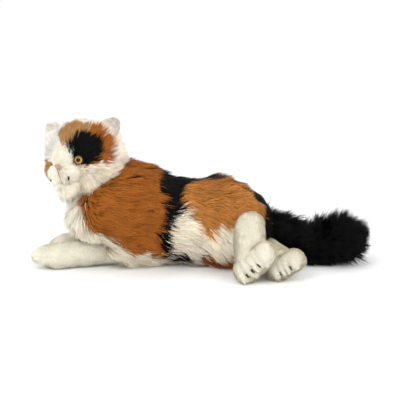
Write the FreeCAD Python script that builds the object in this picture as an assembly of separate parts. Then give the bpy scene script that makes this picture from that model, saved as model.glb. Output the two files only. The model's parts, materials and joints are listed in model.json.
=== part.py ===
"""A stuffed long-haired cat lying on its belly, with its front legs stretched forward and both hind legs
out to its left side. Millimetres, +Z up, nose end towards -X, tail towards +X. Every sewn part is a fabric
cover round its own stuffing, and a sewn seam that bends is a ball in a matching hollow."""

import FreeCAD, Part
import math
import os

V = FreeCAD.Vector

# Where the frame's origin lies: the middle of the toy's outline on the table, from the belly line's datum.
DATUM = V(-7.25, -29.74, 0)

PILE_CLOTH = 3.0  # cover thickness on the head and torso: knitted backing with the dense root of the pile
SHORT_CLOTH = 2.2  # cover thickness on the legs
PACKING_GAP = 0.25  # between a cover and its stuffing
SEAM_GAP = 0.8  # between two sewn parts that move on each other

# Head
HEAD_CENTRE = V(-152.5, -8, 138)
HEAD_RADIUS = 47.0
HEAD_TURN = 28.0  # how far the face looks off the sideways direction, towards the front
HEAD_ROLL = 8.0  # left ear higher than the right
NECK_AXIS = V(-0.53, -0.12, 0.84)
GUSSET_THICKNESS = 1.6
GUSSET_HALF_ANGLE = 38.0
SEAT_RADIUS = HEAD_RADIUS + 2 * SEAM_GAP + GUSSET_THICKNESS

# Muzzle, in the head's own frame: x forward, y to the cat's left, z up
PAD_CENTRE = V(48.5, 8.8, -13)
PAD_RADIUS = 11.5
PAD_PARTING = 0.2  # from the middle of the face to each pad
CHIN_CENTRE = V(44.5, 0, -27)
CHIN_RADIUS = 9.5
BRIDGE_CENTRE = V(46, 0, 0)
BRIDGE_RADIUS = 11.0
NOSE_CENTRE = V(57.2, 0, -2.4)
NOSE_SIZE = V(2.6, 4.4, 3.0)
THREAD_RADIUS = 0.55
STITCH_STANDOFF = THREAD_RADIUS + 0.1  # from the cloth to the middle of a thread that lies on it
MOUTH_TOP = V(57.6, 0, -7.4)
MOUTH_BOTTOM = V(56.2, 0, -19.0)
WHISKER_OUTWARD = V(0.735, 0.618, -0.281)  # from a pad's centre to its whisker stitch
WHISKER_DOWN = V(-0.36, 0, -0.93)
WHISKER_HALF = 1.6

# Safety eyes
EYE_CENTRE = V(42, 21.3, 2.5)
EYE_AXIS = V(0.91, 0.41, 0.02)
EYE_RADIUS = 6.0
PUPIL_RADIUS = 2.1
IRIS_RADIUS = 5.3
PRINT_THICKNESS = 0.6
DOME_HEIGHT = 2.9
CUP_THICKNESS = 2.0
SHANK_RADIUS = 2.3
SHANK_LENGTH = 12.0
WASHER_RADIUS = 7.5
WASHER_THICKNESS = 1.2
WASHER_DEPTH = 5.6

# Ears
EAR_ROOT = V(-3.6, 37.6, 30.2)
EAR_TIP = V(-6.0, 53.0, 43.4)
EAR_WIDTH = 25.0
EAR_HEIGHT = 20.0
EAR_CLOTH = 2.0
EAR_LINING = 1.5
EAR_HEM = 3.5

# Torso sections: place along X, centre Y, half width, underside, top
TORSO_SECTIONS = (
    (-166, -4, 24, 50, 78),
    (-158, -3, 42, 36, 97),
    (-143, -1, 55, 20, 119),
    (-120, 0, 61, 3, 128),
    (-94, 0, 63, -1.5, 129),
    (-68, 0, 60, 5, 124),
    (-40, 0, 53, 8, 109),
    (-8, -2, 51, 6.5, 104),
    (24, -5, 56, -1.8, 107),
    (50, -6, 57, -1.8, 101),
    (70, -5, 50, -1.0, 88),
    (84, -3, 36, 8, 70),
    (92, -2, 16, 24, 53),
)
SECTION_POINTS = 16
WIDE = 400.0  # more than any distance on the toy
CHEST_UNDERSIDE = 41.0  # the chest lies on the front legs at this height
CHEST_REAR = -100.0  # and is open below that height, forward of here
POUCH_CENTRE = V(24, -4, 22)
POUCH_SIZE = V(36, 30, 15)

# Legs and tail: the runs each is made of. A run is two balls, as (centre, radius), and the cone between them,
# and the first ball of the first run turns in the torso's seam. A front leg's last run is the wedge of its
# paw, and a hind leg's lies across its foot.
LIMBS = {
    "left_front": (
        ((V(-102, -14, 21), 18.5), (V(-188, -38, 15.6), 15.5)),
        ((V(-188, -38, 15.6), 15.5), (V(-206.5, -43, 18), 10)),
    ),
    "right_front": (
        ((V(-102, 27.5, 20), 19.5), (V(-180, 11, 17), 16)),
        ((V(-180, 11, 17), 16), (V(-190, 9, 17.5), 9.5)),
    ),
    "right_hind": (
        ((V(58, -57, 58), 19.5), (V(58.5, -94, 27.5), 18.2)),
        ((V(54.5, -102, 16), 16), (V(75, -108, 37), 14.5)),
    ),
    "left_hind": (
        ((V(82, -42, 23), 16), (V(98, -80, 20), 16)),
        ((V(93, -94, 14), 14), (V(111.5, -93, 24.5), 13.5)),
    ),
    "tail": (
        ((V(88, -2, 39), 20.7), (V(138, -8, 20.2), 20.2)),
        ((V(138, -8, 20.2), 20.2), (V(178, -13, 32), 24)),
    ),
}

# How each limb moves: axis, least and most angle in degrees
UP = V(0, 0, 1)
MOTION = {
    "left_front": (UP, -3, 15),
    "right_front": (UP, -15, 3),
    "right_hind": (V(-1, 0, 0), 0, 25),
    "left_hind": (UP, 0, 15),
    "tail": (UP, -20, 20),
}

# Toe stitches: bars of thread between the four toes of a hind foot
STITCH_HALF = 3.0
TOE_SHARES = (0.0, 0.3, 0.65)  # across the foot
TOE_FACING = V(0, -0.97, -0.24)


def head_placement():
    """Carries the head's own frame (x forward, y left, z up) to its place on the toy."""
    turn = FreeCAD.Rotation(UP, -(90 + HEAD_TURN))
    forward = turn.multVec(V(1, 0, 0))
    roll = FreeCAD.Rotation(forward, HEAD_ROLL)
    return FreeCAD.Placement(HEAD_CENTRE, roll.multiply(turn))


def placed(shape, placement):
    moved = shape.copy()
    moved.Placement = placement.multiply(moved.Placement)
    return moved


def mirrored(point):
    """The same point on the other side of the head."""
    return V(point.x, -point.y, point.z)


def along(axis, start):
    """Puts a shape that was made along +Z at start, pointing along axis."""
    return FreeCAD.Placement(start, FreeCAD.Rotation(UP, axis))


def disc(radius, thickness, base, axis):
    return Part.makeCylinder(radius, thickness, base, axis)


def ellipsoid(centre, size):
    stretch = FreeCAD.Matrix()
    stretch.A11, stretch.A22, stretch.A33 = size.x, size.y, size.z
    ball = Part.makeSphere(1).transformGeometry(stretch)
    ball.translate(centre)
    return ball


def taper(start, start_radius, end, end_radius):
    """Two balls joined by the cone that touches both, as one turned solid."""
    run = end - start
    lean = math.asin((start_radius - end_radius) / run.Length)

    def on_ball(height, radius, angle):
        return V(radius * math.cos(angle), 0, height + radius * math.sin(angle))

    quarter = math.pi / 2
    low = [on_ball(0, start_radius, a) for a in (-quarter, (lean - quarter) / 2, lean)]
    high = [on_ball(run.Length, end_radius, a) for a in (lean, (lean + quarter) / 2, quarter)]
    edges = [
        Part.Arc(*low).toShape(),
        Part.LineSegment(low[2], high[0]).toShape(),
        Part.Arc(*high).toShape(),
        Part.LineSegment(high[2], low[0]).toShape(),
    ]
    turned = Part.Face(Part.Wire(edges)).revolve(V(0, 0, 0), UP, 360)
    return placed(turned, along(run, start))


def limb(name, inset=0.0):
    """A leg or the tail, made smaller all round by inset."""
    made = None
    for (start, first), (end, second) in LIMBS[name]:
        run = taper(start, first - inset, end, second - inset)
        made = run if made is None else made.fuse(run)
    return made if len(LIMBS[name]) == 1 else made.removeSplitter()


def pocket(name, inset):
    """The torso's hollow for a limb: its first run, flared to clear the limb over its whole swing."""
    (seam, seam_radius), (end, end_radius) = LIMBS[name][0]
    axis, least, most = MOTION[name]
    flare = (end - seam).Length * math.tan(math.radians((most - least) / 2))
    room = SEAM_GAP + inset
    hollow = taper(seam, seam_radius + room, end, end_radius + room + flare)
    hollow.rotate(seam, axis, (least + most) / 2)
    return hollow


def torso_section(x, y, half_width, underside, top, inset):
    """One closed rounded section of the torso, drawn inset inside the cloth's outside."""
    middle, half_height = (underside + top) / 2, (top - underside) / 2 - inset
    half_width = half_width - inset
    points = []
    for i in range(SECTION_POINTS):
        angle = 2 * math.pi * i / SECTION_POINTS
        points.append(V(x, y + half_width * math.cos(angle), middle + half_height * math.sin(angle)))
    outline = Part.BSplineCurve()
    outline.interpolate(Points=points, PeriodicFlag=True)
    return Part.Wire(outline.toShape())


def box_below(corner):
    """A box that reaches far to -X, -Y and -Z from its highest corner."""
    return Part.makeBox(2 * WIDE, 2 * WIDE, 2 * WIDE, corner - V(2 * WIDE, 2 * WIDE, 2 * WIDE))


def torso_solid(inset):
    """The torso at inset inside its cloth: flat where it lies, hollowed for the head and each limb."""
    last = len(TORSO_SECTIONS) - 1
    wires = []
    for i, (x, y, half_width, underside, top) in enumerate(TORSO_SECTIONS):
        x = x + inset if i == 0 else x - inset if i == last else x
        wires.append(torso_section(x, y, half_width, underside, top, inset))
    body = Part.makeLoft(wires, True, False)
    table = box_below(V(WIDE, WIDE, inset))
    leg_room = box_below(V(CHEST_REAR + inset, WIDE, CHEST_UNDERSIDE + inset))
    seat = Part.makeSphere(SEAT_RADIUS + inset, HEAD_CENTRE)
    cutters = [table, leg_room, seat]
    cutters += [pocket(name, inset) for name in LIMBS]
    for cutter in cutters:
        body = body.cut(cutter)
    return body


def stuffed(solid_at, cloth):
    """A cover of that cloth and the stuffing inside it, from a function of the inset."""
    cover = solid_at(0).cut(solid_at(cloth))
    return cover, solid_at(cloth + PACKING_GAP)


def torso_parts():
    cover, stuffing = stuffed(torso_solid, PILE_CLOTH)
    pouch = ellipsoid(POUCH_CENTRE, POUCH_SIZE)
    room = V(PACKING_GAP, PACKING_GAP, PACKING_GAP)
    stuffing = stuffing.cut(ellipsoid(POUCH_CENTRE, POUCH_SIZE + room))
    return {"torso_cover": cover, "torso_stuffing": stuffing, "pellet_pouch": pouch}


def neck_gusset():
    """The cloth cap between the head and the torso's neck opening, on the head's own centre."""
    axis = V(NECK_AXIS).normalize() * -1
    inner = HEAD_RADIUS + SEAM_GAP
    shell = Part.makeSphere(inner + GUSSET_THICKNESS).cut(Part.makeSphere(inner))
    reach = 2 * HEAD_RADIUS
    mouth = Part.makeCone(0, reach * math.tan(math.radians(GUSSET_HALF_ANGLE)), reach)
    cap = shell.common(mouth)
    return placed(cap, along(axis, HEAD_CENTRE))


def eye_point(side, depth):
    """A point on one eye's axis, depth outside (or inside, if negative) the seat of the eye."""
    centre = EYE_CENTRE if side == "left" else mirrored(EYE_CENTRE)
    return centre + eye_axis(side) * depth


def eye_axis(side):
    axis = EYE_AXIS if side == "left" else mirrored(EYE_AXIS)
    return V(axis).normalize()


def eye_parts(side):
    """One safety eye: a cup on a shank, a printed iris and pupil, a clear dome, and a lock washer inside."""
    axis = eye_axis(side)
    cup = disc(EYE_RADIUS, CUP_THICKNESS, eye_point(side, -CUP_THICKNESS / 2), axis)
    shank = disc(SHANK_RADIUS, SHANK_LENGTH, eye_point(side, -CUP_THICKNESS / 2 - SHANK_LENGTH), axis)
    face = CUP_THICKNESS / 2
    pupil = disc(PUPIL_RADIUS, PRINT_THICKNESS, eye_point(side, face), axis)
    iris = disc(IRIS_RADIUS, PRINT_THICKNESS, eye_point(side, face), axis).cut(pupil)
    ball = (EYE_RADIUS**2 + DOME_HEIGHT**2) / (2 * DOME_HEIGHT)
    front = face + PRINT_THICKNESS
    dome = Part.makeSphere(ball, eye_point(side, front + DOME_HEIGHT - ball))
    dome = dome.common(disc(EYE_RADIUS, DOME_HEIGHT + 1, eye_point(side, front), axis))
    washer = disc(WASHER_RADIUS, WASHER_THICKNESS, eye_point(side, -WASHER_DEPTH), axis)
    washer = washer.cut(disc(SHANK_RADIUS, 20, eye_point(side, -WASHER_DEPTH - 10), axis))
    return {
        f"{side}_eye_shank": cup.fuse(shank).removeSplitter(),
        f"{side}_eye_iris": iris,
        f"{side}_eye_pupil": pupil,
        f"{side}_eye_dome": dome,
        f"{side}_eye_washer": washer,
    }


def muzzle_parts():
    """The stuffed muzzle: two pads, chin and bridge, each trimmed to lie on the head and its neighbours."""
    head = Part.makeSphere(HEAD_RADIUS + PACKING_GAP)
    half = Part.makeBox(100, 100, 100, V(0, PAD_PARTING, -50))
    pad = Part.makeSphere(PAD_RADIUS, PAD_CENTRE).common(half).cut(head)

    def near_pads(gap):
        return [Part.makeSphere(PAD_RADIUS + gap, c) for c in (PAD_CENTRE, mirrored(PAD_CENTRE))]

    chin = Part.makeSphere(CHIN_RADIUS, CHIN_CENTRE).cut([head] + near_pads(PACKING_GAP))
    bridge = Part.makeSphere(BRIDGE_RADIUS, BRIDGE_CENTRE).cut([head] + near_pads(PACKING_GAP))
    nose = ellipsoid(NOSE_CENTRE, NOSE_SIZE)
    nose = nose.cut([Part.makeSphere(BRIDGE_RADIUS + 0.1, BRIDGE_CENTRE)] + near_pads(0.1))
    return {
        "left_muzzle_pad": pad,
        "right_muzzle_pad": pad.mirror(V(0, 0, 0), V(0, 1, 0)),
        "chin_pad": chin,
        "nose_bridge": bridge,
        "nose": nose,
        "mouth_stitch": philtrum(),
        "whisker_stitches": whisker_stitches(),
    }


def philtrum():
    """The thread that draws the two pads together, from the nose down to the chin."""
    pads = [Part.makeSphere(PAD_RADIUS + 0.05, c) for c in (PAD_CENTRE, mirrored(PAD_CENTRE))]
    return taper(MOUTH_TOP, THREAD_RADIUS, MOUTH_BOTTOM, THREAD_RADIUS).cut(pads)


def whisker_stitches():
    """One short bar of thread on each pad."""
    left = PAD_CENTRE + V(WHISKER_OUTWARD).normalize() * (PAD_RADIUS + STITCH_STANDOFF)
    bars = [thread_bar(middle, WHISKER_DOWN, WHISKER_HALF) for middle in (left, mirrored(left))]
    return Part.makeCompound(bars)


def head_parts():
    outer = Part.makeSphere(HEAD_RADIUS)
    inner = Part.makeSphere(HEAD_RADIUS - PILE_CLOTH)
    cover = outer.cut(inner)
    stuffing = Part.makeSphere(HEAD_RADIUS - PILE_CLOTH - PACKING_GAP)
    parts = {}
    for side in ("left", "right"):
        axis = eye_axis(side)
        seat = disc(EYE_RADIUS + 0.1, 10, eye_point(side, -CUP_THICKNESS / 2 - 0.05), axis)
        hole = disc(SHANK_RADIUS + 0.1, 20, eye_point(side, -15), axis)
        cover = cover.cut([seat, hole])
        stuffing = stuffing.cut(disc(WASHER_RADIUS + 0.5, 20, eye_point(side, -SHANK_LENGTH - 3), axis))
        parts.update(eye_parts(side))
    parts.update(muzzle_parts())
    parts["head_cover"] = cover
    parts["head_stuffing"] = stuffing
    return parts


def ear_outline(width, height, thickness):
    """A rounded triangle of cloth standing on its base, made along +Z from the middle of its base."""
    half = width / 2
    left = Part.Arc(V(-half, 0, 0), V(-half * 0.82, 0, height * 0.55), V(-half * 0.25, 0, height * 0.94))
    tip = Part.Arc(V(-half * 0.25, 0, height * 0.94), V(0, 0, height), V(half * 0.25, 0, height * 0.94))
    right = Part.Arc(V(half * 0.25, 0, height * 0.94), V(half * 0.82, 0, height * 0.55), V(half, 0, 0))
    base = Part.LineSegment(V(half, 0, 0), V(-half, 0, 0))
    wire = Part.Wire([curve.toShape() for curve in (left, tip, right, base)])
    return Part.Face(wire).extrude(V(0, thickness, 0))


def ear_frame(side):
    """Carries an ear's outline (x across, y forward, z to its tip) into the head's frame."""
    root = EAR_ROOT if side == "left" else mirrored(EAR_ROOT)
    tip = EAR_TIP if side == "left" else mirrored(EAR_TIP)
    rise = (tip - root).normalize()
    return FreeCAD.Placement(root, FreeCAD.Rotation(V(0, 0, 0), V(1, 0, 0), rise, "ZYX"))


def ear_parts(side):
    frame = ear_frame(side)
    outer = ear_outline(EAR_WIDTH, EAR_HEIGHT, EAR_CLOTH)
    outer.translate(V(0, -EAR_CLOTH, 0))
    lining = ear_outline(EAR_WIDTH - EAR_HEM, EAR_HEIGHT - EAR_HEM, EAR_LINING)
    lining.translate(V(0, 0.05, 0.5))
    return {f"{side}_ear_back": placed(outer, frame), f"{side}_ear_lining": placed(lining, frame)}


def thread_bar(middle, direction, half_length):
    half = V(direction).normalize() * half_length
    return taper(middle - half, THREAD_RADIUS, middle + half, THREAD_RADIUS)


def toe_stitches(name):
    """Bars over the front of a hind foot, square to the line across it."""
    (outer, outer_radius), (inner, inner_radius) = LIMBS[name][-1]
    across = inner - outer
    line = V(across).normalize()
    outward = (TOE_FACING - line * line.dot(TOE_FACING)).normalize()
    bars = []
    for share in TOE_SHARES:
        radius = outer_radius + (inner_radius - outer_radius) * share
        middle = outer + across * share + outward * (radius + STITCH_STANDOFF)
        bars.append(thread_bar(middle, outward.cross(line), STITCH_HALF))
    return Part.makeCompound(bars)


def limb_parts(name, label, cloth):
    cover, stuffing = stuffed(lambda inset: limb(name, inset), cloth)
    return {f"{label}_cover": cover, f"{label}_stuffing": stuffing}


def build():
    parts = torso_parts()
    parts["neck_gusset"] = neck_gusset()
    head = head_parts()
    for side in ("left", "right"):
        head.update(ear_parts(side))
    carry = head_placement()
    parts.update({name: placed(shape, carry) for name, shape in head.items()})
    for side in ("left", "right"):
        parts.update(limb_parts(f"{side}_front", f"{side}_front_leg", SHORT_CLOTH))
        parts.update(limb_parts(f"{side}_hind", f"{side}_hind_leg", SHORT_CLOTH))
        parts[f"{side}_hind_toe_stitches"] = toe_stitches(f"{side}_hind")
    parts.update(limb_parts("tail", "tail", PILE_CLOTH))
    return parts


def main():
    os.makedirs("parts", exist_ok=True)
    low, high = V(1e9, 1e9, 1e9), V(-1e9, -1e9, -1e9)
    for name, shape in build().items():
        shape.translate(DATUM * -1)
        box = shape.optimalBoundingBox()
        low = V(min(low.x, box.XMin), min(low.y, box.YMin), min(low.z, box.ZMin))
        high = V(max(high.x, box.XMax), max(high.y, box.YMax), max(high.z, box.ZMax))
        print(f"{name:28s} valid {shape.isValid()} solids {len(shape.Solids)} volume {shape.Volume:12.1f}")
        shape.exportStep(f"parts/{name}.step")
    print("from", low, "to", high)
    print("middle of the outline", (low + high) * 0.5)


main()
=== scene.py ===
"""The looks of a stuffed long-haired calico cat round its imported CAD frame. Shapes are worked out in
millimetres in the toy's own frame, as in the CAD source, and turned into the row frame's metres when a
mesh is made. Each sewn part is a sculpted skin with its pile as real tapered hairs on it."""

import json
import math
from dataclasses import dataclass

import bpy
import numpy as np
from mathutils import Matrix, Vector, kdtree


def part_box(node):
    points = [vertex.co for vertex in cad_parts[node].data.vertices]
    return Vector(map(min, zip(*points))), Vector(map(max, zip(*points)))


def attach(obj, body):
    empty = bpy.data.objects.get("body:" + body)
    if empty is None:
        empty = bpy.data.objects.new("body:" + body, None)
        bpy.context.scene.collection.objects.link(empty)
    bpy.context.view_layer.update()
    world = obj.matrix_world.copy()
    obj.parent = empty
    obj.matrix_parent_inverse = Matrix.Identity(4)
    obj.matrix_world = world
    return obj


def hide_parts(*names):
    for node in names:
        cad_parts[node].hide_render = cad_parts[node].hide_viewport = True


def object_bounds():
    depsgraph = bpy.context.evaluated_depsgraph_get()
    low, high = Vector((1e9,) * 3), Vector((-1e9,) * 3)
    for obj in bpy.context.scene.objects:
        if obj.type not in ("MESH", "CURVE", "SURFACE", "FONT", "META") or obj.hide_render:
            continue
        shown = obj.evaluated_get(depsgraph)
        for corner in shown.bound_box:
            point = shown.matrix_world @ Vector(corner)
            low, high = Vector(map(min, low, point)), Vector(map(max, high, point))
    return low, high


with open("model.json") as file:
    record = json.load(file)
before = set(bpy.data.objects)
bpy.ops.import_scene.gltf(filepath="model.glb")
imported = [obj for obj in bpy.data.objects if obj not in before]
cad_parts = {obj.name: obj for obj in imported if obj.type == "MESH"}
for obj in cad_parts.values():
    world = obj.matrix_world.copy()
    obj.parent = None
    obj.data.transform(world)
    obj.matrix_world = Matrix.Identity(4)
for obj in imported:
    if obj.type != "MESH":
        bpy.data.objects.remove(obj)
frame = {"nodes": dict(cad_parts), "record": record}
CAD_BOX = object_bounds()

UP = np.array((0.0, 0.0, 1.0))


def vec(x, y, z):
    return np.array((x, y, z), float)


def unit(v):
    v = np.asarray(v, float)
    return v / np.maximum(np.linalg.norm(v, axis=-1, keepdims=True), 1e-9)


def row_joint(key, value):
    """The row's joint whose "name" or "child" is value."""
    return next(j for j in frame["record"]["behaviour"]["joints"] if j[key] == value)


# The head turns on its own centre, which ties the toy's own measures to the row frame
HEAD_CENTRE = vec(-152.5, -8, 138)
DATUM = HEAD_CENTRE - np.array(row_joint("name", "neck_turn")["pos_m"]) * 1000


def metres(points):
    return (np.asarray(points, float) - DATUM) / 1000


def millimetres(points):
    return np.asarray(points, float) * 1000 + DATUM


def linear(red, green, blue):
    """A display colour out of 255 as the linear light that a shader takes."""
    c = np.array((red, green, blue), float) / 255
    return np.where(c <= 0.04045, c / 12.92, ((c + 0.055) / 1.055) ** 2.4)


# ---- the toy's own measures, as in the CAD source
HEAD_RADIUS = 47.0
HEAD_TURN, HEAD_ROLL = 28.0, 8.0
SEAT_CLEARANCE = 3.4
# Sections along the torso: x, centre y, half width, underside and top
TORSO_SECTIONS = np.array(
    (
        (-166, -4, 24, 50, 78),
        (-158, -3, 42, 36, 97),
        (-143, -1, 55, 20, 119),
        (-120, 0, 61, 3, 128),
        (-94, 0, 63, -1.5, 129),
        (-68, 0, 60, 5, 124),
        (-40, 0, 53, 8, 109),
        (-8, -2, 51, 6.5, 104),
        (24, -5, 56, -1.8, 107),
        (50, -6, 57, -1.8, 101),
        (70, -5, 50, -1.0, 88),
        (84, -3, 36, 8, 70),
        (92, -2, 16, 24, 53),
    ),
    float,
)
# The runs a limb is made of: a ball's centre and radius, and those of the ball at the run's other end
LIMBS = {
    "left_front": (
        ((-102, -14, 21), 18.5, (-188, -38, 15.6), 15.5),
        ((-188, -38, 15.6), 15.5, (-206.5, -43, 18), 10),
    ),
    "right_front": (
        ((-102, 27.5, 20), 19.5, (-180, 11, 17), 16),
        ((-180, 11, 17), 16, (-190, 9, 17.5), 9.5),
    ),
    "right_hind": (
        ((58, -57, 58), 19.5, (58.5, -94, 27.5), 18.2),
        ((54.5, -102, 16), 16, (75, -108, 37), 14.5),
    ),
    "left_hind": (
        ((82, -42, 23), 16, (98, -80, 20), 16),
        ((93, -94, 14), 14, (111.5, -93, 24.5), 13.5),
    ),
    "tail": (
        ((88, -2, 39), 20.7, (138, -8, 20.2), 20.2),
        ((138, -8, 20.2), 20.2, (178, -13, 32), 24),
    ),
}


def runs(name):
    """A limb's runs, each as its start, first radius, end and second radius."""
    return [(vec(*start), first, vec(*end), second) for start, first, end, second in LIMBS[name]]


def turned(axis, degrees):
    return np.array(Matrix.Rotation(math.radians(degrees), 3, Vector(axis)))


HEAD_FACING = turned(UP, -(90 + HEAD_TURN))
HEAD_AXES = turned(HEAD_FACING @ vec(1, 0, 0), HEAD_ROLL) @ HEAD_FACING


def on_head(points):
    """From the head's own frame (x forward, y left, z up) to the toy's."""
    return HEAD_CENTRE + np.asarray(points, float) @ HEAD_AXES.T


def in_head(points):
    return (np.asarray(points, float) - HEAD_CENTRE) @ HEAD_AXES


# ---- mesh helpers
def placed(name, data):
    """A new object in the scene that shows data."""
    made = bpy.data.objects.new(name, data)
    bpy.context.scene.collection.objects.link(made)
    return made


def object_from(name, points, faces):
    mesh = bpy.data.meshes.new(name)
    mesh.from_pydata([tuple(p) for p in metres(points)], [], [tuple(f) for f in faces])
    mesh.validate()
    mesh.update()
    return placed(name, mesh)


def all_smooth(made):
    made.data.polygons.foreach_set("use_smooth", np.ones(len(made.data.polygons), bool))
    return made


def read(rows, key, kind=np.float32):
    """One key of a mesh's points, normals or triangles, as three columns."""
    values = np.empty(len(rows) * 3, kind)
    rows.foreach_get(key, values)
    return values.reshape(-1, 3)


def points_of(made):
    return millimetres(read(made.data.vertices, "co"))


def move_points(made, points):
    made.data.vertices.foreach_set("co", metres(points).astype(np.float32).ravel())
    made.data.update()


def normals_of(made):
    return read(made.data.vertex_normals, "vector").astype(float)


def evaluated_mesh(made):
    """A new mesh as an object's modifiers, or its curve's thickness, make it."""
    graph = bpy.context.evaluated_depsgraph_get()
    return bpy.data.meshes.new_from_object(made.evaluated_get(graph), depsgraph=graph)


def applied(made):
    """Replaces an object's mesh by what its modifiers make of it."""
    mesh = evaluated_mesh(made)
    made.modifiers.clear()
    made.data = mesh
    return made


def revolved(profile, centre, axis, sides=28):
    """A closed surface turned about axis from (height, radius) pairs, whose ends have no radius."""
    axis = unit(axis)
    side = unit(np.cross(axis, vec(0.31, 0.95, 0.05)))
    across = np.cross(axis, side)
    points = [centre + axis * profile[0][0]]
    for height, radius in profile[1:-1]:
        for i in range(sides):
            a = 2 * math.pi * i / sides
            points.append(centre + axis * height + (side * math.cos(a) + across * math.sin(a)) * radius)
    points.append(centre + axis * profile[-1][0])
    rings = len(profile) - 2
    faces = [(0, 1 + (i + 1) % sides, 1 + i) for i in range(sides)]
    for r in range(rings - 1):
        for i in range(sides):
            a, b = 1 + r * sides + i, 1 + r * sides + (i + 1) % sides
            faces.append((a, b, b + sides, a + sides))
    last, end = 1 + (rings - 1) * sides, len(points) - 1
    faces += [(last + i, last + (i + 1) % sides, end) for i in range(sides)]
    return np.array(points), faces


def taper_form(start, first, end, second):
    """Two balls and the cone between them, as points and faces."""
    run = np.linalg.norm(end - start)
    lean = math.asin((first - second) / run)
    profile = [(-first, 0)]
    profile += [(first * math.sin(a), first * math.cos(a)) for a in np.linspace(-1.3, lean, 7)]
    profile += [(run + second * math.sin(a), second * math.cos(a)) for a in np.linspace(lean, 1.3, 7)]
    profile.append((run + second, 0))
    return revolved(profile, start, end - start)


def ball_form(centre, size, axes=np.eye(3)):
    """An ellipsoid with half sizes along the columns of axes."""
    profile = [(-1, 0)] + [(math.sin(a), math.cos(a)) for a in np.linspace(-1.4, 1.4, 17)] + [(1, 0)]
    points, faces = revolved(profile, np.zeros(3), UP)
    return np.array(centre, float) + (points * np.array(size, float)) @ np.array(axes).T, faces


def remeshed(made, voxel):
    bpy.ops.object.select_all(action="DESELECT")
    bpy.context.view_layer.objects.active = made
    made.select_set(True)
    made.data.remesh_voxel_size = voxel / 1000
    bpy.ops.object.voxel_remesh()
    return made


def smoothed(made, times, share=0.5):
    modifier = made.modifiers.new("smooth", "SMOOTH")
    modifier.iterations = times
    modifier.factor = share
    return applied(made)


def sculpted(name, forms, voxel, smoothing, cutters=()):
    """One closed skin from overlapping forms, with cutters taken out, remeshed and smoothed."""
    points, faces = [], []
    for p, f in forms:
        faces += [tuple(i + sum(len(q) for q in points) for i in face) for face in f]
        points.append(p)
    made = remeshed(object_from(name, np.vstack(points), faces), voxel)
    for p, f in cutters:
        tool = object_from("cutter", p, f)
        cut = made.modifiers.new("cut", "BOOLEAN")
        cut.operation = "DIFFERENCE"
        cut.object = tool
        cut.solver = "EXACT"
        applied(made)
        bpy.data.objects.remove(tool)
    if cutters:
        remeshed(made, voxel)
    return all_smooth(smoothed(made, smoothing))


def waves(points, pitch, seed):
    """Smooth noise from -1 to 1 with about that pitch, the same on each run."""
    rng = np.random.default_rng(seed)
    total = np.zeros(len(points))
    for _ in range(6):
        direction = unit(rng.normal(size=3)) * (2 * math.pi / pitch) * rng.uniform(0.6, 1.5)
        total += np.sin(points @ direction + rng.uniform(0, 6.3))
    return total / 3.2


# ---- materials
def material(name):
    made = bpy.data.materials.new(name)
    made.use_nodes = True
    nodes = made.node_tree.nodes
    nodes.clear()
    shader = nodes.new("ShaderNodeBsdfPrincipled")
    output = nodes.new("ShaderNodeOutputMaterial")
    made.node_tree.links.new(shader.outputs[0], output.inputs["Surface"])
    return made, made.node_tree, shader


def in_object_space(tree, socket):
    """Feeds socket with the place in the object's own coordinates."""
    place = tree.nodes.new("ShaderNodeTexCoord")
    tree.links.new(place.outputs["Object"], socket)


def noise(tree, scale, detail=3.0):
    """Smooth noise from 0 to 1 through the object, scale times to the metre."""
    node = tree.nodes.new("ShaderNodeTexNoise")
    node.inputs["Scale"].default_value = scale
    node.inputs["Detail"].default_value = detail
    in_object_space(tree, node.inputs["Vector"])
    return node.outputs[0]


def one_colour(tree, colour):
    node = tree.nodes.new("ShaderNodeRGB")
    node.outputs[0].default_value = (*colour, 1)
    return node.outputs[0]


def coat_colour(tree):
    """The colour stored on the mesh's own points."""
    node = tree.nodes.new("ShaderNodeAttribute")
    node.attribute_name = "coat"
    return node.outputs["Color"]


def tint(tree, shader, colour, uneven, low, high):
    """Gives the shader a colour, darkened and lightened between low and high by an uneven 0 to 1 value."""
    spread = tree.nodes.new("ShaderNodeMapRange")
    spread.inputs["To Min"].default_value = low
    spread.inputs["To Max"].default_value = high
    tree.links.new(uneven, spread.inputs["Value"])
    scale = tree.nodes.new("ShaderNodeVectorMath")
    scale.operation = "SCALE"
    tree.links.new(colour, scale.inputs[0])
    tree.links.new(spread.outputs[0], scale.inputs["Scale"])
    tree.links.new(scale.outputs[0], shader.inputs["Base Color"])


def bumpy(tree, shader, height, strength, depth):
    """Bumps in the surface from a 0 to 1 value, up to depth millimetres high."""
    bump = tree.nodes.new("ShaderNodeBump")
    bump.inputs["Strength"].default_value = strength
    bump.inputs["Distance"].default_value = depth / 1000
    tree.links.new(height, bump.inputs["Height"])
    tree.links.new(bump.outputs[0], shader.inputs["Normal"])


def surface(shader, roughness, gloss):
    shader.inputs["Roughness"].default_value = roughness
    shader.inputs["Specular IOR Level"].default_value = gloss


def hair_material():
    """Pile hairs: their stored colour, with painted shade at the roots and painted light at the tips, in fine
    streaks, with little gloss.
    """
    made, tree, shader = material("pile_hair")
    tint(tree, shader, coat_colour(tree), noise(tree, 420), 0.84, 1.22)
    surface(shader, 0.6, 0.1)
    return made


def skin_material():
    """The knitted backing and short nap under the hairs, in the coat's colours with painted shade under the
    pile, darker where the nap is low as painted shade in its hollows, with a fibrous bump.
    """
    made, tree, shader = material("pile_skin")
    nap = noise(tree, 900, 5)
    # The nap's colour follows its bump, darker in its hollows as painted shade
    tint(tree, shader, coat_colour(tree), nap, 0.86, 1.08)
    bumpy(tree, shader, nap, 0.5, 0.6)
    surface(shader, 0.9, 0.05)
    return made


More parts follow.
